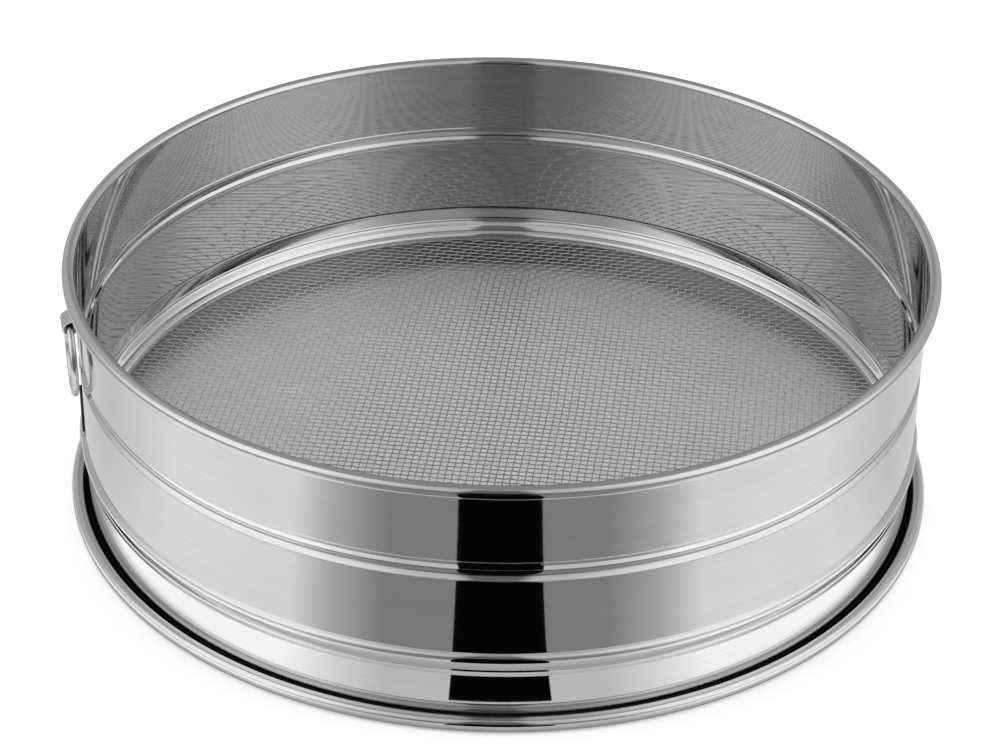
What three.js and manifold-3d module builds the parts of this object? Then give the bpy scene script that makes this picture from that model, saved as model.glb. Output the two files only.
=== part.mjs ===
// Round kitchen sieve: a drum of polished sheet steel with a floor of wire cloth.
// Millimetres, +Z up. The origin is the centre of the ring on which the foot stands, and the hanging
// ring is on the -X side.

import * as THREE from "three";
import { mergeGeometries, mergeVertices } from "three/addons/utils/BufferGeometryUtils.js";
import Module from "manifold-3d";

const wasm = await Module();
wasm.setup();

// Stock and fits
const SHEET = 0.5; // thickness of the hoop and of the mesh ring
const FIT_GAP = 0.2; // clearance between pieces that seat on each other
const FACETS = 48; // flats round the drum; a multiple of 4 puts corners on the axes
const ARC_STEP = THREE.MathUtils.degToRad(42); // turn of a curl from one profile point to the next
const WELD = 1e-4; // points closer than this are one point

// Hoop
const RIM_RADIUS = 105; // outside of the rim
const HOOP_HEIGHT = 64;
const RIM_CURL = 3.2; // outside diameter of the curled rim
const RIM_CURL_TURN = THREE.MathUtils.degToRad(290);
const GROOVE_HEIGHT = 41.3; // middle of the bead pressed inward
const GROOVE_WIDTH = 5.4;
const GROOVE_DEPTH = 0.7;
const RIDGE_HEIGHT = 15.9; // middle of the bead pressed outward
const RIDGE_WIDTH = 6.8;
const RIDGE_RISE = 1.0; // crest, measured from the wall above it
const LOWER_STEP = 0.6; // how much wider the wall is below the ridge
const BEAD_STEPS = 6; // profile steps across each bead
const FOOT_GUTTER = 0.9; // gap between the wall and the curled foot
const FOOT_TURN = 1.0; // radius at which the wall turns out into the foot
const FOOT_CURL_WIDTH = 2.7;
const FOOT_CURL_HEIGHT = 3.5;

// Mesh ring and wire cloth
const RING_CURL = 2.6; // outside diameter of the curl that presses on the cloth
const RING_CURL_INSET = 3.0; // from the wall of the hoop to the middle of that curl
const RING_CURL_END = THREE.MathUtils.degToRad(40);
const CLOTH_HEIGHT = 9.5; // middle of the cloth above the surface the sieve stands on
const CLOTH_WIRE = 0.3;
const CLOTH_PITCH = 1.8; // from wire to wire
const CLOTH_TURN = THREE.MathUtils.degToRad(-19.8); // how the cloth lies round +Z
const NET_EVERY = 6; // one bar of the net stands for this many wires
const NET_BAR = 0.9;
const NET_BORDER = 1.4; // closed edge of the net, under the curl of the mesh ring

// Hanging ring and its lug
const RING_WIRE = 1.8;
const RING_DIAMETER = 18; // across the middle of the wire
const RING_SIDES = 10;
const RING_STEPS = 32;
const LUG_SHEET = 0.45;
const LUG_WIDTH = 6;
const LUG_HEIGHT = 8.6;
const LUG_SEAT = 0.1; // between the lug and the round of the wall
const LUG_STEPS = 10; // profile steps round each end of the loop

// Colours and roughness of the metal
const STEEL = 0xc9cbcc;
const CLOTH_STEEL = 0xa9abac;
const POLISHED = 0.12;
const BRIGHT = 0.2;
const DRAWN = 0.35;

// A profile point: distance from the axis, height.
const at = (radius, height) => new THREE.Vector2(radius, height);

// Points along an arc round a centre, from one angle to another, both ends included.
function arc(centre, radius, from, to) {
  const steps = Math.max(1, Math.round(Math.abs(to - from) / ARC_STEP));
  const points = [];
  for (let i = 0; i <= steps; i += 1) {
    const angle = from + ((to - from) * i) / steps;
    points.push(at(centre.x + radius * Math.cos(angle), centre.y + radius * Math.sin(angle)));
  }
  return points;
}

// The closed outline of a sheet whose middle follows a line of points.
function sheetOutline(line, thickness) {
  const left = [];
  const right = [];
  for (let i = 0; i < line.length; i += 1) {
    const before = line[Math.max(i - 1, 0)];
    const after = line[Math.min(i + 1, line.length - 1)];
    const into = line[i].clone().sub(before).normalize();
    const out = after.clone().sub(line[i]).normalize();
    const along = into.clone().add(out).normalize();
    const bend = Math.max(along.dot(into), along.dot(out));
    const across = at(-along.y, along.x).multiplyScalar(thickness / 2 / bend);
    left.push(line[i].clone().add(across));
    right.push(line[i].clone().sub(across));
  }
  return [...left, ...right.reverse()];
}

// A closed outline of (radius, height) points turned round the axis of the drum.
function turned(outline) {
  const ordered = THREE.ShapeUtils.isClockWise(outline) ? [...outline].reverse() : outline;
  return new THREE.LatheGeometry([...ordered, ordered[0]], FACETS);
}

function toSolid(geometry) {
  const bare = geometry.clone();
  bare.deleteAttribute("normal");
  bare.deleteAttribute("uv");
  const merged = mergeVertices(bare, WELD);
  return new wasm.Manifold(
    new wasm.Mesh({
      numProp: 3,
      vertProperties: new Float32Array(merged.attributes.position.array),
      triVerts: new Uint32Array(merged.index.array),
    }),
  );
}

function toGeometry(solid) {
  const mesh = solid.getMesh();
  const geometry = new THREE.BufferGeometry();
  geometry.setAttribute("position", new THREE.BufferAttribute(mesh.vertProperties, 3));
  geometry.setIndex(new THREE.BufferAttribute(mesh.triVerts, 1));
  geometry.computeVertexNormals();
  return geometry;
}

function piece(name, geometry, color, roughness) {
  const material = new THREE.MeshStandardMaterial({ color, roughness, metalness: 1 });
  const mesh = new THREE.Mesh(geometry, material);
  mesh.name = name;
  return mesh;
}

// Radii of the hoop's sheet, to its middle
const rimCurlRadius = (RIM_CURL - SHEET) / 2;
const rimCentre = at(RIM_RADIUS - RIM_CURL / 2, HOOP_HEIGHT - RIM_CURL / 2);
const wallRadius = rimCentre.x - rimCurlRadius;
const lowerWallRadius = wallRadius + LOWER_STEP;
const footCurlRadius = (FOOT_CURL_WIDTH - SHEET) / 2;
const footCentre = at(lowerWallRadius + SHEET / 2 + FOOT_GUTTER + FOOT_CURL_WIDTH / 2, FOOT_CURL_WIDTH / 2);
const footStraight = at(0, FOOT_CURL_HEIGHT - FOOT_CURL_WIDTH);

// A bead across the wall: share is 0 at its upper edge and 1 at its lower one.
function bead(height, width, radiusAt) {
  const points = [];
  for (let i = 0; i <= BEAD_STEPS; i += 1) {
    const share = i / BEAD_STEPS;
    points.push(at(radiusAt(share), height + width / 2 - width * share));
  }
  return points;
}

const swell = (share) => (1 - Math.cos(2 * Math.PI * share)) / 2;
const ramp = (share) => (1 - Math.cos(Math.PI * share)) / 2;

function hoopLine() {
  const groove = bead(GROOVE_HEIGHT, GROOVE_WIDTH, (share) => wallRadius - GROOVE_DEPTH * swell(share));
  const ridge = bead(
    RIDGE_HEIGHT,
    RIDGE_WIDTH,
    (share) => wallRadius + LOWER_STEP * ramp(share) + (RIDGE_RISE - LOWER_STEP / 2) * swell(share),
  );
  const turn = at(lowerWallRadius + FOOT_TURN, SHEET / 2 + FOOT_TURN);
  return [
    ...arc(rimCentre, rimCurlRadius, Math.PI - RIM_CURL_TURN, Math.PI),
    ...groove,
    ...ridge,
    ...arc(turn, FOOT_TURN, Math.PI, 1.5 * Math.PI),
    ...arc(footCentre, footCurlRadius, -Math.PI / 2, 0),
    ...arc(footCentre.clone().add(footStraight), footCurlRadius, 0, Math.PI),
    at(footCentre.x - footCurlRadius, footCentre.y),
  ];
}

// A core wire fills its curl, less the clearance.
function coreWire(centre, curl) {
  const radius = curl / 2 - SHEET - FIT_GAP;
  const outline = arc(centre, radius, 0, 2 * Math.PI);
  outline.pop();
  return turned(outline);
}

// The mesh ring springs its upper edge into the hollow of the ridge. From there its wall runs straight
// to the curl that lies on the cloth, and meets that curl as a tangent.
const clothTop = CLOTH_HEIGHT + CLOTH_WIRE;
const ringCurlRadius = (RING_CURL - SHEET) / 2;
const ringCentre = at(
  lowerWallRadius - SHEET / 2 - RING_CURL_INSET,
  clothTop + FIT_GAP + RING_CURL / 2,
);

function meshRingLine() {
  const edge = at(wallRadius + RIDGE_RISE - SHEET - FIT_GAP, RIDGE_HEIGHT);
  const reach = edge.clone().sub(ringCentre);
  const contact = reach.angle() - Math.acos(ringCurlRadius / reach.length());
  return [edge, ...arc(ringCentre, ringCurlRadius, contact, RING_CURL_END - 2 * Math.PI)];
}

// The cloth is a flat net with square gaps, cut out of a disc.
function clothNet() {
  const thickness = 2 * CLOTH_WIRE;
  const edge = lowerWallRadius - SHEET / 2 - FIT_GAP;
  const openRadius = edge - NET_BORDER;
  const pitch = CLOTH_PITCH * NET_EVERY;
  const gap = pitch - NET_BAR;
  const reach = Math.ceil(openRadius / pitch);
  const gaps = [];
  const nearSide = (index) => Math.max(Math.abs(index) * pitch - gap / 2, 0);
  for (let i = -reach; i <= reach; i += 1) {
    for (let j = -reach; j <= reach; j += 1) {
      if (Math.hypot(nearSide(i), nearSide(j)) < openRadius) {
        gaps.push(new THREE.BoxGeometry(gap, gap, 2 * thickness).translate(i * pitch, j * pitch, 0));
      }
    }
  }
  const disc = (radius, height) => {
    const round = new THREE.CylinderGeometry(radius, radius, height, FACETS);
    return toSolid(round.rotateX(Math.PI / 2));
  };
  const cut = toSolid(mergeGeometries(gaps).rotateZ(CLOTH_TURN)).intersect(disc(openRadius, 2 * thickness));
  return toGeometry(disc(edge, thickness).subtract(cut));
}

// Inside the lug the wire of the ring is bowed. The eye clears the wire from the top of the bow down
// to its lower side at the edges of the strip, and the hinge lies midway between the two.
const ringRadius = RING_DIAMETER / 2;
const bowTop = ringRadius + RING_WIRE / 2;
const bowFoot = Math.sqrt((ringRadius - RING_WIRE / 2) ** 2 - (LUG_WIDTH / 2) ** 2);
const eyeRadius = (bowTop - bowFoot) / 2 + FIT_GAP;

// A strip bent into a flat loop, its back welded to the wall. The local origin is the hinge, the
// centre of the round at the bottom of the loop; x points outward and y up.
function lugLoop() {
  const straight = LUG_HEIGHT - 2 * (LUG_SHEET + eyeRadius);
  const loop = (path, radius) =>
    path
      .absarc(0, 0, radius, Math.PI, 2 * Math.PI, false)
      .absarc(0, straight, radius, 0, Math.PI, false)
      .closePath();
  const strip = loop(new THREE.Shape(), eyeRadius + LUG_SHEET);
  strip.holes.push(loop(new THREE.Path(), eyeRadius));
  const geometry = new THREE.ExtrudeGeometry(strip, {
    depth: LUG_WIDTH,
    bevelEnabled: false,
    curveSegments: LUG_STEPS,
  });
  return geometry.translate(0, 0, -LUG_WIDTH / 2);
}

const drum = new THREE.Group();
drum.rotation.x = Math.PI / 2;
drum.add(piece("hoop", turned(sheetOutline(hoopLine(), SHEET)), STEEL, POLISHED));
drum.add(piece("rim_wire", coreWire(rimCentre, RIM_CURL), STEEL, DRAWN));
drum.add(piece("foot_wire", coreWire(footCentre, FOOT_CURL_WIDTH), STEEL, DRAWN));
drum.add(piece("mesh_ring", turned(sheetOutline(meshRingLine(), SHEET)), STEEL, POLISHED));

const cloth = piece("mesh_cloth", clothNet(), CLOTH_STEEL, DRAWN);
cloth.position.z = CLOTH_HEIGHT;

const lugTop = HOOP_HEIGHT - RIM_CURL - FIT_GAP;
const hinge = new THREE.Vector3(
  -(wallRadius + SHEET / 2 + LUG_SEAT + LUG_SHEET + eyeRadius),
  0,
  lugTop - LUG_HEIGHT + LUG_SHEET + eyeRadius,
);

const hanger = new THREE.Group();
hanger.position.copy(hinge);
hanger.rotation.set(-Math.PI / 2, 0, Math.PI);
hanger.add(piece("ring_lug", lugLoop(), STEEL, BRIGHT));

const ring = piece(
  "hanging_ring",
  new THREE.TorusGeometry(ringRadius, RING_WIRE / 2, RING_SIDES, RING_STEPS),
  STEEL,
  BRIGHT,
);
ring.rotation.y = Math.PI / 2;
ring.position.y = -(bowTop + bowFoot) / 2;
hanger.add(ring);

const sieve = new THREE.Group();
sieve.add(drum, cloth, hanger);

export default sieve;
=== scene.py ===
# %% [markdown]
# # A round kitchen sieve
# The sieve is a drum of polished sheet steel with a floor of woven wire. This lesson dresses the packed
# model: the frame gives every size and place, and each piece below is modelled finely over its solid.
# All pieces sit at the origin in metres, with their place in the mesh, so nothing has to be fitted.

# %% Load the frame
import math

import bmesh
import bpy
from mathutils import Matrix, Vector


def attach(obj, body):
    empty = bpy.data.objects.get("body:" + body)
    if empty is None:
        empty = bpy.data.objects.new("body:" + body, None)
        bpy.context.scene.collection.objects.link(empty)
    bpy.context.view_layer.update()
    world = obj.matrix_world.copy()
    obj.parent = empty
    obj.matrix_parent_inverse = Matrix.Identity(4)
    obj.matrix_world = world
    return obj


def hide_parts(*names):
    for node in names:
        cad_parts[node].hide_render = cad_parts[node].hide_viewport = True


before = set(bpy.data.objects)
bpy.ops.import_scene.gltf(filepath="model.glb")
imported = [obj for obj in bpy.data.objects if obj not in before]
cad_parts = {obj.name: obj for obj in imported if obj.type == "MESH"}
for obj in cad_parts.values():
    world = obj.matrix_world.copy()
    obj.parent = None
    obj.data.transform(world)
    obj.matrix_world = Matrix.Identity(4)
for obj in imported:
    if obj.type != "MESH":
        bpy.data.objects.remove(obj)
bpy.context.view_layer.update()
scene = bpy.context.scene
scene.view_settings.view_transform = "Standard"
MM = 0.001
print("nodes:", sorted(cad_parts))

# %% [markdown]
# ## The camera
# A photograph taken with a long lens from above. It could be placed by eye, but the rim and the foot are
# true circles, so their outlines fix the distance, the height, the pitch, the small roll and the focal
# length. The camera starts on the -Y side, looks along +Y, and is then turned round the sieve.

# %% Camera
PHOTO_WIDTH = 1000
FOCAL_PIXELS = 2775
SENSOR_WIDTH = 36.0
CAMERA_TURN = math.radians(-13)
CAMERA_DISTANCE = 582.3 * MM
CAMERA_HEIGHT = 390.6 * MM
CAMERA_PITCH = math.radians(32.02)
CAMERA_ROLL = math.radians(0.97)

facing_photo = Matrix.Rotation(CAMERA_TURN, 4, "Z")
lens = bpy.data.cameras.new("photo_camera")
lens.sensor_fit = "HORIZONTAL"
lens.sensor_width = SENSOR_WIDTH
lens.lens = FOCAL_PIXELS / PHOTO_WIDTH * SENSOR_WIDTH
camera = bpy.data.objects.new("photo_camera", lens)
scene.collection.objects.link(camera)
camera.matrix_world = (
    facing_photo
    @ Matrix.Translation((0, -CAMERA_DISTANCE, CAMERA_HEIGHT))
    @ Matrix.Rotation(math.pi / 2 - CAMERA_PITCH, 4, "X")
    @ Matrix.Rotation(CAMERA_ROLL, 4, "Z")
)
scene.camera = camera
place_mm = [round(c / MM) for c in camera.matrix_world.translation]
print("camera at", place_mm, "mm, lens", round(lens.lens, 1))

# %% [markdown]
# ## Lines for sheet metal
# The hoop and the mesh ring are sheet, rolled to a profile. A profile is a line of points, each a distance
# from the axis and a height. Curls are arcs round a centre. A pressed bead is easier to give as a maker
# bends it: so far along the sheet while it turns to such a lean, so it leaves the wall without a kink.

# %% Profile helpers
ARC_STEP = math.radians(8)
BEND_STEP = math.radians(6)


def arc(centre, radius, start, end):
    """Points round a centre from one angle to another, both ends included."""
    steps = max(2, round(abs(end - start) / ARC_STEP))
    angles = [start + (end - start) * i / steps for i in range(steps + 1)]
    return [(centre[0] + radius * math.cos(a), centre[1] + radius * math.sin(a)) for a in angles]


def bent(start, bends):
    """A line down from a start; each bend is a length in mm and the lean that it ends with, in degrees."""
    line = [start]
    lean = 0.0
    radius, height = start
    for length, degrees in bends:
        turn = math.radians(degrees) - lean
        steps = max(1, round(abs(turn) / BEND_STEP))
        for i in range(steps):
            middle = lean + turn * (i + 0.5) / steps
            radius += length * MM / steps * math.sin(middle)
            height -= length * MM / steps * math.cos(middle)
            line.append((radius, height))
        lean += turn
    return line


print("arc step", round(math.degrees(ARC_STEP)), "degrees")

# %% [markdown]
# ## Turning a line into a piece
# A turned shape could be a Screw modifier or a lathe of computed faces. Spin is the bmesh operator for it:
# the line is swept round Z and merged where it meets itself. Sheet then gets its thickness from a Solidify
# modifier, even on both sides of the line, which is applied so that the cut edges can be marked sharp.

# %% Mesh helpers
ROUND_STEPS = 288
MERGE = 1e-6
SHARP_ANGLE = math.radians(38)


def piece_from(name, bm):
    """A new object at the origin from a bmesh, with smooth faces."""
    for face in bm.faces:
        face.smooth = True
    mesh = bpy.data.meshes.new(name)
    bm.to_mesh(mesh)
    bm.free()
    piece = bpy.data.objects.new(name, mesh)
    scene.collection.objects.link(piece)
    return piece


def close_shell(bm):
    bmesh.ops.remove_doubles(bm, verts=bm.verts, dist=MERGE)
    bmesh.ops.recalc_face_normals(bm, faces=bm.faces)


def line_in(bm, line):
    """A line of (radius, height) points as edges in the XZ plane."""
    corners = [bm.verts.new((radius, 0, height)) for radius, height in line]
    edges = [bm.edges.new(pair) for pair in zip(corners, corners[1:])]
    return corners + edges


def apply_modifiers(piece):
    """Keeps the shape that the modifiers give, and marks the edges that stay sharp."""
    shaped = piece.evaluated_get(bpy.context.evaluated_depsgraph_get())
    mesh = bpy.data.meshes.new_from_object(shaped)
    piece.modifiers.clear()
    piece.data = mesh
    mesh.set_sharp_from_angle(angle=SHARP_ANGLE)


def give_thickness(piece, thickness):
    sheet = piece.modifiers.new("sheet", "SOLIDIFY")
    sheet.thickness = thickness
    sheet.offset = 0
    sheet.use_even_offset = True
    apply_modifiers(piece)


def spin_round(bm, geometry, centre=(0, 0, 0), axis=(0, 0, 1), steps=ROUND_STEPS):
    """Sweeps a line or a circle all the way round an axis."""
    bmesh.ops.spin(
        bm, geom=geometry, cent=centre, axis=axis, angle=2 * math.pi, steps=steps, use_merge=True
    )
    close_shell(bm)


def rolled_sheet(name, line, thickness):
    """Sheet that follows a line, all the way round the axis."""
    bm = bmesh.new()
    spin_round(bm, line_in(bm, line))
    piece = piece_from(name, bm)
    give_thickness(piece, thickness)
    return piece


def dress(piece, body, slot, *nodes):
    """The piece rides on a body and stands for these solids; the slot argument is not used."""
    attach(piece, body)
    if nodes:
        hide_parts(*nodes)
    print(piece.name, len(piece.data.polygons), "faces")


# %% [markdown]
# ## Tools for a finish
# A finish is a small network of nodes. It could be wired by hand in the editor, but four short tools make
# it readable here: one makes a node, one does a sum, one blends two colours, and one makes a soft step. The
# Mix node has sockets for every kind of value, so the ones for colours are picked by number.

# %% Node helpers
MIX_FIRST = 6
MIX_SECOND = 7
MIX_RESULT = 2


def wired(material, kind, **settings):
    """A new node with its properties set."""
    node = material.node_tree.nodes.new(kind)
    for name, value in settings.items():
        setattr(node, name, value)
    return node


def calc(material, operation, first, second):
    """A Math node; each side is a number or the output of another node."""
    node = wired(material, "ShaderNodeMath", operation=operation)
    for socket, value in zip(node.inputs, (first, second)):
        if isinstance(value, (int, float)):
            socket.default_value = value
        else:
            material.node_tree.links.new(value, socket)
    return node.outputs["Value"]


def blended(material, share, first, second):
    """The first colour where the share is 0, the second where it is 1."""
    links = material.node_tree.links
    node = wired(material, "ShaderNodeMix", data_type="RGBA")
    links.new(share, node.inputs["Factor"])
    for value, socket in ((first, node.inputs[MIX_FIRST]), (second, node.inputs[MIX_SECOND])):
        if isinstance(value, tuple):
            socket.default_value = value
        else:
            links.new(value, socket)
    return node.outputs[MIX_RESULT]


def soft_step(material, value, start, end):
    """Rises gently from 0 at the start to 1 at the end."""
    node = wired(material, "ShaderNodeMapRange", interpolation_type="SMOOTHSTEP")
    node.inputs["From Min"].default_value = start
    node.inputs["From Max"].default_value = end
    material.node_tree.links.new(value, node.inputs["Value"])
    return node.outputs["Result"]


print("colour sockets:", MIX_FIRST, MIX_SECOND)

# %% [markdown]
# ## How steel looks
# Stainless sheet is rolled and then polished round the drum. It could be a plain mirror, but a real one
# shows hairlines that run with the polishing and a slight wave in the sheet, and both bend what it
# reflects. The hairlines are noise squeezed along one direction. They change the tone, the roughness and
# the bump.

# %% Steel recipe
HAIRLINE_DETAIL = 3.0
CLOUD_SCALE = 38.0
CLOUD_DETAIL = 2.0
SHINE_RANGE = (0.25, 0.75)
TONE_RANGE = (0.36, 0.64)


def steel(name, dark, light, smooth, rough, hairline_scale, hairline_depth, wave_depth):
    """A steel with hairlines along one direction, uneven shine and a slight wave in its surface."""
    material = bpy.data.materials.new(name)
    material.use_nodes = True
    nodes = material.node_tree.nodes
    links = material.node_tree.links
    shader = nodes["Principled BSDF"]
    shader.inputs["Metallic"].default_value = 1.0
    place = wired(material, "ShaderNodeTexCoord")

    squeeze = wired(material, "ShaderNodeMapping")
    squeeze.inputs["Scale"].default_value = hairline_scale
    hairlines = wired(material, "ShaderNodeTexNoise")
    hairlines.inputs["Scale"].default_value = 1.0
    hairlines.inputs["Detail"].default_value = HAIRLINE_DETAIL
    links.new(place.outputs["Object"], squeeze.inputs["Vector"])
    links.new(squeeze.outputs["Vector"], hairlines.inputs["Vector"])

    clouds = wired(material, "ShaderNodeTexNoise")
    clouds.inputs["Scale"].default_value = CLOUD_SCALE
    clouds.inputs["Detail"].default_value = CLOUD_DETAIL
    links.new(place.outputs["Object"], clouds.inputs["Vector"])

    shine = wired(material, "ShaderNodeMapRange")
    shine.inputs["From Min"].default_value, shine.inputs["From Max"].default_value = SHINE_RANGE
    shine.inputs["To Min"].default_value = smooth
    shine.inputs["To Max"].default_value = rough
    links.new(hairlines.outputs["Fac"], shine.inputs["Value"])
    links.new(shine.outputs["Result"], shader.inputs["Roughness"])

    tone = wired(material, "ShaderNodeValToRGB")
    for element, position, colour in zip(tone.color_ramp.elements, TONE_RANGE, (dark, light)):
        element.position = position
        element.color = (*colour, 1)
    both = calc(material, "ADD", clouds.outputs["Fac"], hairlines.outputs["Fac"])
    mean = calc(material, "MULTIPLY", both, 0.5)
    links.new(mean, tone.inputs["Fac"])
    links.new(tone.outputs["Color"], shader.inputs["Base Color"])

    waves = wired(material, "ShaderNodeBump")
    waves.inputs["Strength"].default_value = 1.0
    waves.inputs["Distance"].default_value = wave_depth
    links.new(clouds.outputs["Fac"], waves.inputs["Height"])
    scratches = wired(material, "ShaderNodeBump")
    scratches.inputs["Strength"].default_value = 1.0
    scratches.inputs["Distance"].default_value = hairline_depth
    links.new(hairlines.outputs["Fac"], scratches.inputs["Height"])
    links.new(waves.outputs["Normal"], scratches.inputs["Normal"])
    links.new(scratches.outputs["Normal"], shader.inputs["Normal"])
    return material


print("steel tones between", TONE_RANGE)

# %% [markdown]
# ## The finishes
# The sheet is mirror polished, with its hairlines squeezed along Z so that they run round the drum. The
# wires are only drawn through a die, so they are duller, and the lug and the ring lie in between. The end
# of the lap is a shadow more than a metal: it is the same recipe, dark, and it mirrors next to nothing.

# %% Steel finishes
SEAM_MIRROR = 0.1

seam_shadow = steel(
    "seam_shadow",
    dark=(0.015, 0.015, 0.015),
    light=(0.05, 0.05, 0.05),
    smooth=0.5,
    rough=0.8,
    hairline_scale=(300, 300, 300),
    hairline_depth=0.001 * MM,
    wave_depth=0.0,
)
polished_steel = steel(
    "polished_steel",
    dark=(0.67, 0.675, 0.68),
    light=(0.73, 0.732, 0.735),
    smooth=0.03,
    rough=0.06,
    hairline_scale=(25, 25, 2500),
    hairline_depth=0.0002 * MM,
    wave_depth=0.03 * MM,
)
drawn_wire = steel(
    "drawn_wire",
    dark=(0.54, 0.54, 0.54),
    light=(0.66, 0.66, 0.66),
    smooth=0.14,
    rough=0.26,
    hairline_scale=(900, 900, 900),
    hairline_depth=0.0,
    wave_depth=0.0,
)
fitting_steel = steel(
    "fitting_steel",
    dark=(0.62, 0.625, 0.63),
    light=(0.72, 0.722, 0.725),
    smooth=0.08,
    rough=0.16,
    hairline_scale=(300, 300, 300),
    hairline_depth=0.0006 * MM,
    wave_depth=0.01 * MM,
)
seam_shader = seam_shadow.node_tree.nodes["Principled BSDF"]
seam_shader.inputs["Metallic"].default_value = 0.0
seam_shader.inputs["Specular IOR Level"].default_value = SEAM_MIRROR
finishes = (polished_steel, drawn_wire, fitting_steel, seam_shadow)
print("finishes:", [finish.name for finish in finishes])

# %% [markdown]
# ## Painted shade in the gutter and under the cloth
# The gutter between the wall and the curled foot is dark in the photograph. A polishing wheel hardly gets
# into it, so the steel is taken as rougher there, and its colour is painted near black as painted shade in
# the recess. The inside of the wall under the cloth is painted darker too, as painted shade under the
# cloth.
# That is a guess, set so that the back of the cloth has a dark ground as in the photograph. It could be a
# second material on some faces. Masks in the same material, from the distance to the axis and the height,
# need no face picking. The lower wall leans a little, so the line between its two sides leans with it.

# %% Painted shade and dull steel
GUTTER_FROM = 102.62 * MM
GUTTER_TO = 104.4 * MM
GUTTER_FADE = (2.9 * MM, 2.1 * MM)
# Painted shade: the gutter's colour is painted near black, where shade falls in the recess.
GUTTER_PAINTED_SHADE = (0.03, 0.03, 0.03, 1)
GUTTER_ROUGHNESS = 0.7
UNDER_HEIGHT = 9.0 * MM
UNDER_RADIUS = 102.5 * MM
UNDER_LEAN = 0.0444
# Painted shade: the inside of the wall under the cloth is painted darker.
UNDER_CLOTH_PAINTED_SHADE = (0.24, 0.24, 0.24, 1)


def paint_shade_and_dullness(material):
    """Painted shade in the gutter of the foot, where the steel is also rougher, and painted shade inside
    the wall under the cloth.
    """
    nodes = material.node_tree.nodes
    links = material.node_tree.links
    shader = nodes["Principled BSDF"]
    place = wired(material, "ShaderNodeTexCoord")
    flat = wired(material, "ShaderNodeVectorMath", operation="MULTIPLY")
    flat.inputs[1].default_value = (1, 1, 0)
    spread = wired(material, "ShaderNodeVectorMath", operation="LENGTH")
    parts = wired(material, "ShaderNodeSeparateXYZ")
    links.new(place.outputs["Object"], flat.inputs[0])
    links.new(flat.outputs["Vector"], spread.inputs[0])
    links.new(place.outputs["Object"], parts.inputs["Vector"])
    distance, height = spread.outputs["Value"], parts.outputs["Z"]

    outside = calc(material, "GREATER_THAN", distance, GUTTER_FROM)
    inside = calc(material, "LESS_THAN", distance, GUTTER_TO)
    low = soft_step(material, height, *GUTTER_FADE)
    gutter = calc(material, "MULTIPLY", calc(material, "MULTIPLY", outside, inside), low)
    upright = calc(material, "ADD", distance, calc(material, "MULTIPLY", height, UNDER_LEAN))
    within = calc(material, "LESS_THAN", upright, UNDER_RADIUS)
    under = calc(material, "MULTIPLY", within, calc(material, "LESS_THAN", height, UNDER_HEIGHT))

    colour = shader.inputs["Base Color"].links[0].from_socket
    # Painted shade under the cloth: the steel there is painted darker.
    colour = blended(material, under, colour, UNDER_CLOTH_PAINTED_SHADE)
    # Painted shade: near black in the gutter of the foot.
    links.new(blended(material, gutter, colour, GUTTER_PAINTED_SHADE), shader.inputs["Base Color"])
    shine = shader.inputs["Roughness"].links[0].from_socket
    dull = calc(material, "MULTIPLY", gutter, GUTTER_ROUGHNESS)
    links.new(calc(material, "MAXIMUM", shine, dull), shader.inputs["Roughness"])


paint_shade_and_dullness(polished_steel)
print("gutter dull from", round(GUTTER_FROM / MM, 2), "to", round(GUTTER_TO / MM, 2), "mm")

# %% [markdown]
# ## The hoop
# One strip of sheet makes the drum. From the top down it has the rim, curled outward over a wire, a bead
# pressed inward, a bead pressed outward, and the foot, turned out and curled up with an open gutter beside
# the wall. Its whole profile is one line, so it is spun in one piece.

# %% Hoop
SHEET = 0.5 * MM
RIM_RADIUS = 105 * MM
HOOP_HEIGHT = 64 * MM
RIM_CURL = 3.2 * MM
RIM_CURL_TURN = math.radians(290)
GROOVE_TOP = 43.8 * MM
GROOVE_BENDS = (
    (0.25, -30), (0.15, -30), (0.3, 8), (0.3, 8), (0.25, -15), (1.3, -16),
    (0.25, -36), (0.593, -36), (0.3, 0), (1.1, 30), (1.0, 50), (0.35, 0),
)
RIDGE_TOP = 19.3 * MM
RIDGE_BENDS = (
    (0.35, 56), (0.5, 56), (1.1, 0), (0.7, -18), (2.3, -18),
    (0.3, 12), (0.35, -14), (1.2, -13), (0.6, 2.5),
)
LOWER_STEP = 0.39 * MM
FOOT_GUTTER = 0.8 * MM
FOOT_TURN = 1.0 * MM
FOOT_CURL_WIDTH = 3.0 * MM
FOOT_CURL_HEIGHT = 3.5 * MM

rim_curl_radius = (RIM_CURL - SHEET) / 2
rim_centre = (RIM_RADIUS - RIM_CURL / 2, HOOP_HEIGHT - RIM_CURL / 2)
wall_radius = rim_centre[0] - rim_curl_radius
lower_wall_radius = wall_radius + LOWER_STEP
foot_curl_radius = (FOOT_CURL_WIDTH - SHEET) / 2
foot_centre = (lower_wall_radius + SHEET / 2 + FOOT_GUTTER + FOOT_CURL_WIDTH / 2, FOOT_CURL_WIDTH / 2)
foot_top_centre = (foot_centre[0], FOOT_CURL_HEIGHT - FOOT_CURL_WIDTH / 2)
foot_turn_centre = (lower_wall_radius + FOOT_TURN, SHEET / 2 + FOOT_TURN)


def pressed(top, bends):
    """A bead in the wall that starts at a height."""
    return bent((wall_radius, top), bends)


wall_line = pressed(GROOVE_TOP, GROOVE_BENDS) + pressed(RIDGE_TOP, RIDGE_BENDS)
hoop_line = (
    arc(rim_centre, rim_curl_radius, math.pi - RIM_CURL_TURN, math.pi)
    + wall_line
    + arc(foot_turn_centre, FOOT_TURN, math.pi, 1.5 * math.pi)
    + arc(foot_centre, foot_curl_radius, -math.pi / 2, 0)
    + arc(foot_top_centre, foot_curl_radius, 0, math.pi)
    + [(foot_centre[0] - foot_curl_radius, foot_centre[1])]
)
hoop = rolled_sheet("hoop_sheet", hoop_line, SHEET)
hoop.data.materials.append(polished_steel)
dress(hoop, "drum", "polished_steel", "hoop")
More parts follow.
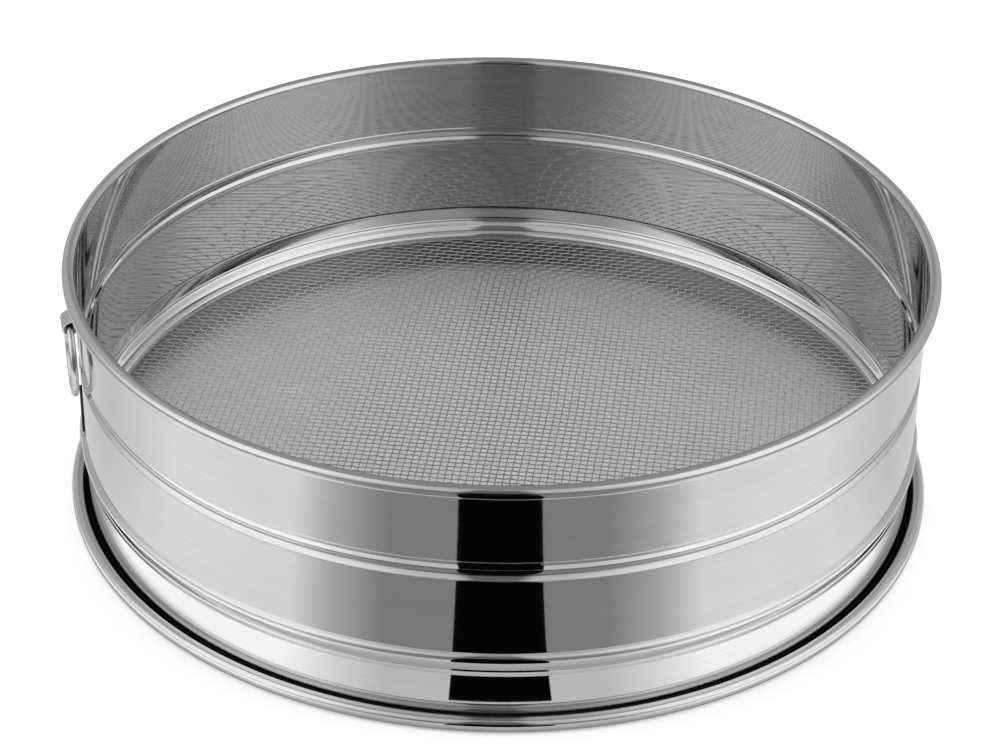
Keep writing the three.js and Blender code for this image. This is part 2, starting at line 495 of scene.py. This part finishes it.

# %% [markdown]
# ## The lap seam
# A strip becomes a hoop where its two ends overlap, here just beside the lug. The overlap is a second layer
# of the wall. Below the hanging ring its end stands a little proud and shows as a thin dark line: a
# near-black strip painted as the shadow at that edge. Both are the wall's own line, spun through a few
# degrees just outside the wall.

# %% Lap seam
LAP_FROM = math.radians(168)
LAP_TO = math.radians(177.3)
LAP_TOP = 60.3 * MM
LAP_SHEET = 0.24 * MM
SEAM_WIDTH = math.radians(0.06)
SEAM_TOP = 33.5 * MM
SEAM_FOOT = 20.2 * MM
SEAM_SHEET = 0.55 * MM
LAP_STEPS = 12


def wall_strip(name, start, end, top, foot, thickness):
    """A layer on the outside of the wall, between two angles and two heights."""
    line = [(wall_radius, top)] + [point for point in wall_line if foot < point[1] < top]
    if line[-1][0] == wall_radius:
        line.append((wall_radius, foot))
    out = (SHEET + thickness) / 2
    bm = bmesh.new()
    line_in(bm, [(radius + out, height) for radius, height in line])
    bmesh.ops.rotate(bm, verts=bm.verts, cent=(0, 0, 0), matrix=Matrix.Rotation(start, 3, "Z"))
    geometry = bm.verts[:] + bm.edges[:]
    bmesh.ops.spin(bm, geom=geometry, cent=(0, 0, 0), axis=(0, 0, 1), angle=end - start, steps=LAP_STEPS)
    close_shell(bm)
    strip = piece_from(name, bm)
    give_thickness(strip, thickness)
    return strip


lap = wall_strip("lap_sheet", LAP_FROM, LAP_TO, LAP_TOP, 0, LAP_SHEET)
lap.data.materials.append(polished_steel)
# Painted shadow: a near-black strip at the end of the lap.
seam = wall_strip("lap_end_shadow", LAP_TO, LAP_TO + SEAM_WIDTH, SEAM_TOP, SEAM_FOOT, SEAM_SHEET)
seam.data.materials.append(seam_shadow)
for piece in (lap, seam):
    dress(piece, "drum", "polished_steel", "hoop")

# %% [markdown]
# ## The core wires
# A wire lies in each curl and keeps it from being crushed. Only a sliver of it can be seen, from below. A
# torus primitive would do, but a spun circle keeps the same way of working and the same number of steps.

# %% Core wires
FIT_GAP = 0.2 * MM
CORE_SIDES = 12


def round_wire(name, centre, radius):
    """A wire bent to a ring round the axis."""
    bm = bmesh.new()
    circle = bmesh.ops.create_circle(bm, segments=CORE_SIDES, radius=radius)["verts"]
    bmesh.ops.rotate(bm, verts=circle, cent=(0, 0, 0), matrix=Matrix.Rotation(math.pi / 2, 3, "X"))
    bmesh.ops.translate(bm, verts=circle, vec=(centre[0], 0, centre[1]))
    spin_round(bm, bm.verts[:] + bm.edges[:])
    return piece_from(name, bm)


rim_core = round_wire("rim_core", rim_centre, RIM_CURL / 2 - SHEET - FIT_GAP)
foot_core = round_wire("foot_core", foot_centre, FOOT_CURL_WIDTH / 2 - SHEET - FIT_GAP)
for core, node in ((rim_core, "rim_wire"), (foot_core, "foot_wire")):
    core.data.materials.append(drawn_wire)
    dress(core, "drum", "core_wire", node)

# %% [markdown]
# ## The mesh ring
# A second, narrow hoop holds the floor. Its upper edge springs into the hollow of the lower bead, its wall
# leans inward to a crease, and below that its lower edge is curled over and presses on the cloth. It is
# given in bends too, because the bright lines on it come from how its lean changes.

# %% Mesh ring
RING_EDGE = (102.41 * MM, 18.04 * MM)
RING_BENDS = (
    (0.1, -20), (2.7, -20), (0.12, -42), (0.1, -42), (0.25, 0), (0.3, -36), (0.7, -52),
    (0.6, -52), (1.2, -28), (0.3, -5), (0.3, -56), (0.6, -54), (4.6, 195),
)

ring_line = bent(RING_EDGE, RING_BENDS)
print("ring line", [[round(c / MM, 2) for c in ring_line[i]] for i in (0, -1)])
lowest = min(height for _, height in ring_line)
inmost = min(radius for radius, _ in ring_line)
print("ring lowest", round(lowest / MM, 2), "inmost", round(inmost / MM, 2))
mesh_ring = rolled_sheet("mesh_ring_sheet", ring_line, SHEET)
mesh_ring.data.materials.append(polished_steel)
dress(mesh_ring, "drum", "polished_steel", "mesh_ring")

# %% [markdown]
# ## The wire cloth
# The floor is a plain weave: each wire goes over one and under the next. A texture would look flat from the
# side, so the wires are real. One wave of wire is a circle extruded four times, two Array modifiers repeat
# it along the wire and across the cloth, and the square of wires is then cut round. The wires that start
# with a crest and those that start with a hollow are separate pieces, as are the two directions.

# %% One wave of wire
CLOTH_WIRE = 0.3 * MM
CLOTH_PITCH = 1.8 * MM
CLOTH_TURN = math.radians(-19.8)
WIRE_SIDES = 6
HALF_COUNT = 58


def wave_of_wire(bm, crest):
    """A wire along X that starts at a crest (1) or a hollow (-1) and goes through one whole wave."""
    lift = crest * CLOTH_WIRE / 2
    front = bmesh.ops.create_circle(bm, segments=WIRE_SIDES, radius=CLOTH_WIRE / 2)["verts"]
    bmesh.ops.rotate(bm, verts=front, cent=(0, 0, 0), matrix=Matrix.Rotation(math.pi / 2, 3, "Y"))
    bmesh.ops.translate(bm, verts=front, vec=(0, 0, lift))
    for drop in (-lift, -lift, lift, lift):
        rim = [e for e in bm.edges if all(v in front for v in e.verts)]
        made = bmesh.ops.extrude_edge_only(bm, edges=rim)["geom"]
        front = [v for v in made if isinstance(v, bmesh.types.BMVert)]
        bmesh.ops.translate(bm, verts=front, vec=(CLOTH_PITCH / 2, 0, drop))
    bmesh.ops.recalc_face_normals(bm, faces=bm.faces)


print("wires each way:", 2 * HALF_COUNT)

# %% [markdown]
# ## Laying the cloth
# Real cloth is never quite even: the wires drift a little sideways. Both directions drift by the same
# formula, so they still meet at their crossings. The edge is turned up between the mesh ring and the hoop,
# which is a plain bend: what lies beyond the bend line is carried round a quarter circle and then upward.

# %% Cloth
CLOTH_HEIGHT = 9.5 * MM
BEND_START = 100.1 * MM
BEND_RADIUS = 1.0 * MM
EDGE_RISE = 1.6 * MM
DRIFT = 0.16 * MM
DRIFT_WAVES = (62.0, 137.0)
DRIFT_STARTS = (1.1, 0.4)
DRIFT_SLANTS = (60.0, -45.0)
QUICK_SHARE = 0.5

cloth_cut = BEND_START + BEND_RADIUS * math.pi / 2 + EDGE_RISE


def pulled(along, across, start, slant):
    """One sideways pull: a slow wave, and a weaker quick one that runs aslant."""
    slow, quick = DRIFT_WAVES
    weaker = QUICK_SHARE * math.sin(quick * along + slant * across)
    return DRIFT * (math.sin(slow * along + start) + weaker)


def drifted(place):
    """How far the cloth is pulled aside at a place."""
    x_pull = pulled(place.y, place.x, DRIFT_STARTS[0], DRIFT_SLANTS[0])
    y_pull = pulled(place.x, place.y, DRIFT_STARTS[1], DRIFT_SLANTS[1])
    return Vector((x_pull, y_pull, 0))


def turned_up(place):
    """The place after the cloth's edge is bent upward."""
    spread = place.xy.length
    beyond = spread - BEND_START
    if beyond <= 0:
        return place
    angle = min(beyond / BEND_RADIUS, math.pi / 2)
    rest = max(beyond - BEND_RADIUS * math.pi / 2, 0)
    out = BEND_START + BEND_RADIUS * math.sin(angle) - place.z * math.sin(angle)
    up = BEND_RADIUS * (1 - math.cos(angle)) + rest + place.z * math.cos(angle)
    return Vector((place.x * out / spread, place.y * out / spread, up))


def laid_wires(name, crest, first, turn):
    """Every second wire of one direction, cut round, drifted and turned up at the edge."""
    bm = bmesh.new()
    wave_of_wire(bm, crest)
    bmesh.ops.translate(bm, verts=bm.verts, vec=(-HALF_COUNT * CLOTH_PITCH, first * CLOTH_PITCH, 0))
    wires = piece_from(name, bm)
    for label, step in (("along", (2 * CLOTH_PITCH, 0, 0)), ("across", (0, 2 * CLOTH_PITCH, 0))):
        copies = wires.modifiers.new(label, "ARRAY")
        copies.count = HALF_COUNT
        copies.use_relative_offset = False
        copies.use_constant_offset = True
        copies.constant_offset_displace = step
        copies.use_merge_vertices = label == "along"
        copies.merge_threshold = MERGE
    apply_modifiers(wires)

    bm = bmesh.new()
    bm.from_mesh(wires.data)
    beyond = [v for v in bm.verts if v.co.xy.length > cloth_cut]
    bmesh.ops.delete(bm, geom=beyond, context="VERTS")
    ends = [e for e in bm.edges if e.is_boundary]
    bmesh.ops.holes_fill(bm, edges=ends, sides=0)
    bmesh.ops.rotate(bm, verts=bm.verts, cent=(0, 0, 0), matrix=Matrix.Rotation(turn, 3, "Z"))
    for corner in bm.verts:
        corner.co = turned_up(corner.co + drifted(corner.co))
    bmesh.ops.translate(bm, verts=bm.verts, vec=(0, 0, CLOTH_HEIGHT))
    bm.to_mesh(wires.data)
    bm.free()
    return wires


for label, turn, sign in (("warp", CLOTH_TURN, 1), ("weft", CLOTH_TURN + math.pi / 2, -1)):
    for start, crest in ((-HALF_COUNT, sign), (1 - HALF_COUNT, -sign)):
        wires = laid_wires(f"cloth_{label}_{'even' if start % 2 == 0 else 'odd'}", crest, start, turn)
        wires.data.materials.append(drawn_wire)
        dress(wires, "drum", "wire_cloth", "mesh_cloth")

# %% [markdown]
# ## The lug
# A short strip of sheet is bent round the ring's wire, its ends are pressed flat together and welded under
# the rim. Its line is a strap down the wall, most of a circle for the eye, and a strap back up, extruded
# across its width. Solidify gives it the thickness of the strip, and a Bevel takes the sharpness off it.

# %% Lug
RING_WIRE = 1.8 * MM
RING_DIAMETER = 18 * MM
LUG_SHEET = 0.45 * MM
LUG_WIDTH = 6 * MM
LUG_HEIGHT = 8.6 * MM
LUG_SEAT = 0.1 * MM
LUG_BEVEL = 0.12 * MM
LUG_BEVEL_STEPS = 3
STRAP_GAP = 0.04 * MM
EYE_TURN = math.radians(240)

hanger_radius = RING_DIAMETER / 2
bow_top = hanger_radius + RING_WIRE / 2
bow_foot = math.sqrt((hanger_radius - RING_WIRE / 2) ** 2 - (LUG_WIDTH / 2) ** 2)
eye_radius = (bow_top - bow_foot) / 2 + FIT_GAP
lug_top = HOOP_HEIGHT - RIM_CURL - FIT_GAP
hinge = Vector(
    (
        -(wall_radius + SHEET / 2 + LUG_SEAT + LUG_SHEET + eye_radius),
        0,
        lug_top - LUG_HEIGHT + LUG_SHEET + eye_radius,
    )
)
loop_radius = eye_radius + LUG_SHEET / 2
wall_strap = hinge.x + loop_radius
outer_strap = wall_strap - LUG_SHEET - STRAP_GAP
eye_line = arc((hinge.x, hinge.z), loop_radius, 0, -EYE_TURN)
eye_end = Vector(eye_line[-1])
strap_start = eye_end.y + (outer_strap - eye_end.x) * math.tan(math.pi * 1.5 - EYE_TURN)
lug_line = [(wall_strap, lug_top)] + eye_line + [(outer_strap, strap_start), (outer_strap, lug_top)]

bm = bmesh.new()
line_in(bm, lug_line)
bmesh.ops.translate(bm, verts=bm.verts, vec=(0, -LUG_WIDTH / 2, 0))
across = bmesh.ops.extrude_edge_only(bm, edges=bm.edges[:])["geom"]
far_side = [v for v in across if isinstance(v, bmesh.types.BMVert)]
bmesh.ops.translate(bm, verts=far_side, vec=(0, LUG_WIDTH, 0))
close_shell(bm)
lug = piece_from("lug_strip", bm)
thickness = lug.modifiers.new("strip", "SOLIDIFY")
thickness.thickness = LUG_SHEET
thickness.offset = 0
edges = lug.modifiers.new("edges", "BEVEL")
edges.width = LUG_BEVEL
edges.segments = LUG_BEVEL_STEPS
apply_modifiers(lug)
lug.data.materials.append(fitting_steel)
dress(lug, "drum", "fittings", "ring_lug")

# %% [markdown]
# ## The hanging ring
# A ring of round wire hangs in the eye of the lug. It is a circle spun round the middle of the ring, on an
# axis along X, and it rides on its own body, so it swings with the joint.

# %% Hanging ring
HANGER_SIDES = 20
HANGER_STEPS = 96

hanger_centre = hinge - Vector((0, 0, (bow_top + bow_foot) / 2))
bm = bmesh.new()
circle = bmesh.ops.create_circle(bm, segments=HANGER_SIDES, radius=RING_WIRE / 2)["verts"]
bmesh.ops.rotate(bm, verts=circle, cent=(0, 0, 0), matrix=Matrix.Rotation(math.pi / 2, 3, "Y"))
bmesh.ops.rotate(bm, verts=circle, cent=(0, 0, 0), matrix=Matrix.Rotation(math.pi / 2, 3, "Z"))
bmesh.ops.translate(bm, verts=circle, vec=hanger_centre + Vector((0, 0, hanger_radius)))
spin_round(bm, bm.verts[:] + bm.edges[:], hanger_centre, (1, 0, 0), HANGER_STEPS)
hanger = piece_from("hanger_wire", bm)
hanger.data.materials.append(fitting_steel)
dress(hanger, "ring", "fittings", "hanging_ring")

# %% [markdown]
# ## The floor
# The sieve stands on a plain pale floor. The picture's background is white, which could be done with more
# light, but that would bleach the steel. So the floor is a light grey paint that takes the shadows, and
# outside the foot it is lifted to white for the camera alone. Inside the foot the grey is painted a little
# deeper, as painted shade under the drum and the cloth.
# That is a guess too, set so that the cloth is about as bright as in the photograph.

# %% Floor
FLOOR_RADIUS = 0.7
FLOOR_STEPS = 128
FLOOR_TONE = (0.7, 0.7, 0.7, 1)
# Painted shade: the floor inside the foot is painted darker than outside.
INNER_PAINTED_SHADE = (0.54, 0.54, 0.54, 1)
FLOOR_LIFT = 0.33
WHITE = (1, 1, 1, 1)
FOOT_EDGE = 103.5 * MM


def floor_paint():
    """Pale paint that takes shadows, painted darker inside the foot as painted shade, and lifted to white
    for the camera outside it.
    """
    material = bpy.data.materials.new("floor_paint")
    material.use_nodes = True
    nodes = material.node_tree.nodes
    links = material.node_tree.links
    shader = nodes["Principled BSDF"]
    shader.inputs["Roughness"].default_value = 1.0
    shader.inputs["Specular IOR Level"].default_value = 0.0
    shader.inputs["Emission Color"].default_value = WHITE
    place = wired(material, "ShaderNodeTexCoord")
    spread = wired(material, "ShaderNodeVectorMath", operation="LENGTH")
    path = wired(material, "ShaderNodeLightPath")
    links.new(place.outputs["Object"], spread.inputs[0])
    outside = calc(material, "GREATER_THAN", spread.outputs["Value"], FOOT_EDGE)
    # Painted shade: the deeper grey inside the foot.
    links.new(blended(material, outside, INNER_PAINTED_SHADE, FLOOR_TONE), shader.inputs["Base Color"])
    lifted = calc(material, "MULTIPLY", outside, path.outputs["Is Camera Ray"])
    links.new(calc(material, "MULTIPLY", lifted, FLOOR_LIFT), shader.inputs["Emission Strength"])
    return material


bm = bmesh.new()
bmesh.ops.create_circle(bm, cap_ends=True, segments=FLOOR_STEPS, radius=FLOOR_RADIUS)
floor = piece_from("floor", bm)
floor.data.materials.append(floor_paint())
floor.visible_glossy = False
print("floor", 2 * FLOOR_RADIUS, "m across")

# %% [markdown]
# ## What the steel mirrors
# Polished steel shows its surroundings more than itself. The front of the drum mirrors the table in front
# of it, just outside the picture: a dark gap in the middle, grey beside the gap, and light at both sides,
# brightest close to the foot. It could be built from boards and cloths. A card on the floor does the same,
# and only reflections can see it.

# %% Tones of the card
HALF_TURN = 180
GAP_NEAR = 111.3 * MM
GAP_SLOPE = 0.154
GAP_OFFSET = -3.5 * MM
GAP_SHIFT = 1.5 * MM
GAP_TONE = (0.002, 0.002, 0.002, 1)
WALL_SHARE = 0.59
NEAR_TONES = ((0, 0.66), (28, 0.68), (41, 0.92), (52, 1.25), (95, 1.28), (102, 0.7), (180, 0.66))
TABLE_TONES = (
    (0, 0.27), (28, 0.27), (42, 0.52), (52, 0.9), (70, 0.93),
    (85, 0.93), (100, 0.78), (107, 0.7), (180, 0.7),
)
FAR_TONES = ((0, 0.27), (28, 0.27), (50, 0.42), (90, 0.45), (180, 0.45))
NEAR_END = (22 * MM, 26 * MM)
TABLE_END = (130 * MM, 165 * MM)
# Painted shadow: close to the foot the card darkens to this tone, a contact shadow that the steel mirrors.
CONTACT_SHADOW_SPAN = (106 * MM, 111 * MM)
CONTACT_SHADOW_TONE = (0.35, 0.35, 0.35, 1)


def set_stops(tones, stops, full=1.0):
    """Grey stops on a colour ramp, each a place (out of full) and a value."""
    elements = tones.color_ramp.elements
    while len(elements) < len(stops):
        elements.new(0.5)
    for element, (position, value) in zip(elements, stops):
        element.position = position / full
        element.color = (value, value, value, 1)


def card_paint():
    """Tones by the angle from straight ahead and by the distance from the axis."""
    material = bpy.data.materials.new("card_paint")
    material.use_nodes = True
    nodes = material.node_tree.nodes
    links = material.node_tree.links
    nodes.remove(nodes["Principled BSDF"])
    place = wired(material, "ShaderNodeTexCoord")
    parts = wired(material, "ShaderNodeSeparateXYZ")
    spread = wired(material, "ShaderNodeVectorMath", operation="LENGTH")
    links.new(place.outputs["Object"], parts.inputs["Vector"])
    links.new(place.outputs["Object"], spread.inputs[0])
    aside, ahead, distance = parts.outputs["X"], parts.outputs["Y"], spread.outputs["Value"]

    mirror_focus = wall_radius / 2
    angle = calc(material, "ARCTAN2", aside, calc(material, "SUBTRACT", ahead, mirror_focus))
    angle = calc(material, "ABSOLUTE", angle, 0)
    share = calc(material, "DIVIDE", angle, math.pi)
    wall_angle = calc(material, "MULTIPLY", angle, WALL_SHARE)
    inward = calc(material, "MULTIPLY", calc(material, "COSINE", wall_angle, 0), wall_radius)
    sideways = calc(material, "MULTIPLY", calc(material, "SINE", wall_angle, 0), wall_radius)
    squares = [calc(material, "MULTIPLY", length, length) for length in (distance, sideways)]
    to_wall_line = calc(material, "SQRT", calc(material, "SUBTRACT", *squares), 0)
    run = calc(material, "SUBTRACT", to_wall_line, inward)

    bands = []
    for stops in (NEAR_TONES, TABLE_TONES, FAR_TONES):
        tones = wired(material, "ShaderNodeValToRGB")
        set_stops(tones, stops, HALF_TURN)
        links.new(share, tones.inputs["Fac"])
        bands.append(tones.outputs["Color"])
    tone = bands[0]
    for band, edge in zip(bands[1:], (NEAR_END, TABLE_END)):
        tone = blended(material, soft_step(material, run, *edge), tone, band)
    # Painted contact shadow close to the foot, in what the steel mirrors.
    tone = blended(material, soft_step(material, distance, *CONTACT_SHADOW_SPAN), CONTACT_SHADOW_TONE, tone)

    off_middle = calc(material, "ABSOLUTE", calc(material, "ADD", aside, GAP_SHIFT), 0)
    reach = calc(material, "SUBTRACT", off_middle, calc(material, "MULTIPLY", ahead, GAP_SLOPE))
    gap = calc(material, "LESS_THAN", reach, GAP_OFFSET)
    gap = calc(material, "MULTIPLY", gap, calc(material, "GREATER_THAN", distance, GAP_NEAR))
    tone = blended(material, gap, tone, GAP_TONE)
    glow = wired(material, "ShaderNodeEmission")
    links.new(tone, glow.inputs["Color"])
    links.new(glow.outputs["Emission"], nodes["Material Output"].inputs["Surface"])
    return material


print("dark gap from", round(GAP_NEAR / MM, 1), "mm")

# %% [markdown]
# ## Laying the card
# The card is a flat ring round the foot, a hair above the floor. A plain disc would do, but the foot would
# stand in it. The camera, the shadows and the floor's own light don't see it.

# %% Table card
CARD_NEAR = 106 * MM
CARD_FAR = 1200 * MM
CARD_HEIGHT = 0.05 * MM
CARD_STEPS = 96

bm = bmesh.new()
bmesh.ops.create_circle(bm, segments=CARD_STEPS, radius=CARD_NEAR)
wider = bmesh.ops.extrude_edge_only(bm, edges=bm.edges[:])["geom"]
outer = [v for v in wider if isinstance(v, bmesh.types.BMVert)]
bmesh.ops.scale(bm, verts=outer, vec=(CARD_FAR / CARD_NEAR, CARD_FAR / CARD_NEAR, 1))
card = piece_from("table_card", bm)
card.data.materials.append(card_paint())
turned_to_camera = Matrix.Rotation(math.pi, 4, "Z")
card.matrix_world = facing_photo @ Matrix.Translation((0, 0, CARD_HEIGHT)) @ turned_to_camera
card.visible_camera = False
card.visible_diffuse = False
card.visible_shadow = False
card.visible_transmission = False
print("card", round(2 * CARD_FAR, 1), "m across")

# %% [markdown]
# ## The room
# Above the table the room is white for the camera. What lights the floor is a plain sky, dim at the level
# of the floor. What the steel mirrors has white sides and a darker front, as a light tent with an opening
# for the camera has.

# %% World
SKY_STOPS = ((0.0, 0.16), (0.5, 0.16), (0.62, 0.34), (0.82, 0.85), (1.0, 1.05))
COLUMN_STOPS = (
    (-90, 0.14), (-28, 0.14), (-20, 0.01), (18, 0.01), (26, 0.14), (60, 0.16), (72, 0.4), (90, 0.3),
)
FRONT_STOPS = (
    (-90, 0.14), (-20, 0.14), (-14, 0.2), (16, 0.2), (26, 0.6), (66, 0.6), (80, 0.35), (90, 0.3),
)
SIDE_STOPS = ((-90, 0.5), (2, 0.55), (10, 1.2), (56, 1.1), (70, 0.4), (90, 0.3))
REAR_STOPS = ((-90, 0.25), (-10, 0.3), (0, 0.5), (40, 0.5), (60, 0.35), (90, 0.3))
BACK_STOPS = ((-90, 0.2), (0, 0.2), (20, 0.32), (45, 0.32), (60, 0.3), (90, 0.3))
TURNS = ((6, 12), (14, 60), (84, 130), (150, 178))


def studio_world():
    """White for the camera, a tent with an open front for reflections, and a plain sky for the rest."""
    world = bpy.data.worlds.new("studio")
    world.use_nodes = True
    nodes = world.node_tree.nodes
    links = world.node_tree.links
    place = wired(world, "ShaderNodeTexCoord")
    turned = wired(world, "ShaderNodeMapping")
    turned.inputs["Rotation"].default_value = (0, 0, -CAMERA_TURN)
    parts = wired(world, "ShaderNodeSeparateXYZ")
    links.new(place.outputs["Generated"], turned.inputs["Vector"])
    links.new(turned.outputs["Vector"], parts.inputs["Vector"])

    sky = wired(world, "ShaderNodeValToRGB")
    set_stops(sky, SKY_STOPS)
    half_up = calc(world, "MULTIPLY", calc(world, "ADD", parts.outputs["Z"], 1), 0.5)
    links.new(half_up, sky.inputs["Fac"])

    rise = calc(world, "ARCSINE", parts.outputs["Z"], 0)
    rise_share = calc(world, "ADD", calc(world, "DIVIDE", rise, math.pi), 0.5)
    walls = []
    for stops in (COLUMN_STOPS, FRONT_STOPS, SIDE_STOPS, REAR_STOPS, BACK_STOPS):
        tones = wired(world, "ShaderNodeValToRGB")
        set_stops(tones, [(HALF_TURN / 2 + degrees, value) for degrees, value in stops], HALF_TURN)
        links.new(rise_share, tones.inputs["Fac"])
        walls.append(tones.outputs["Color"])
    angle = calc(world, "ARCTAN2", parts.outputs["X"], calc(world, "MULTIPLY", parts.outputs["Y"], -1))
    off_front = calc(world, "ABSOLUTE", angle, 0)
    tent = walls[0]
    for wall, (first, last) in zip(walls[1:], TURNS):
        share = soft_step(world, off_front, math.radians(first), math.radians(last))
        tent = blended(world, share, tent, wall)

    path = wired(world, "ShaderNodeLightPath")
    mirrored = blended(world, path.outputs["Is Glossy Ray"], sky.outputs["Color"], tent)
    shown = blended(world, path.outputs["Is Camera Ray"], mirrored, WHITE)
    links.new(shown, nodes["Background"].inputs["Color"])
    return world


scene.world = studio_world()
print("world:", scene.world.name)

# %% [markdown]
# ## The lamps
# Large soft boxes on both sides and one overhead. They are broad, so shadows stay soft, and their level is
# low enough that a colour renders about as it is written.

# %% Lamps
SIDE_PLACE = (1.1, -0.2, 0.8)
SIDE_SIZE = 0.9
SIDE_POWER = 5
TOP_PLACE = (0, 0.3, 1.5)
TOP_SIZE = 1.2
TOP_POWER = 9


def soft_box(name, place, size, power):
    """A square lamp that faces the middle of the sieve."""
    lamp = bpy.data.lights.new(name, "AREA")
    lamp.shape = "SQUARE"
    lamp.size = size
    lamp.energy = power
    box = bpy.data.objects.new(name, lamp)
    scene.collection.objects.link(box)
    position = facing_photo @ Vector(place)
    aim = (Vector((0, 0, HOOP_HEIGHT / 2)) - position).to_track_quat("-Z", "Y")
    box.matrix_world = Matrix.Translation(position) @ aim.to_matrix().to_4x4()
    box.visible_glossy = False


soft_box("left_box", (-SIDE_PLACE[0], *SIDE_PLACE[1:]), SIDE_SIZE, SIDE_POWER)
soft_box("right_box", SIDE_PLACE, SIDE_SIZE, SIDE_POWER)
soft_box("top_box", TOP_PLACE, TOP_SIZE, TOP_POWER)
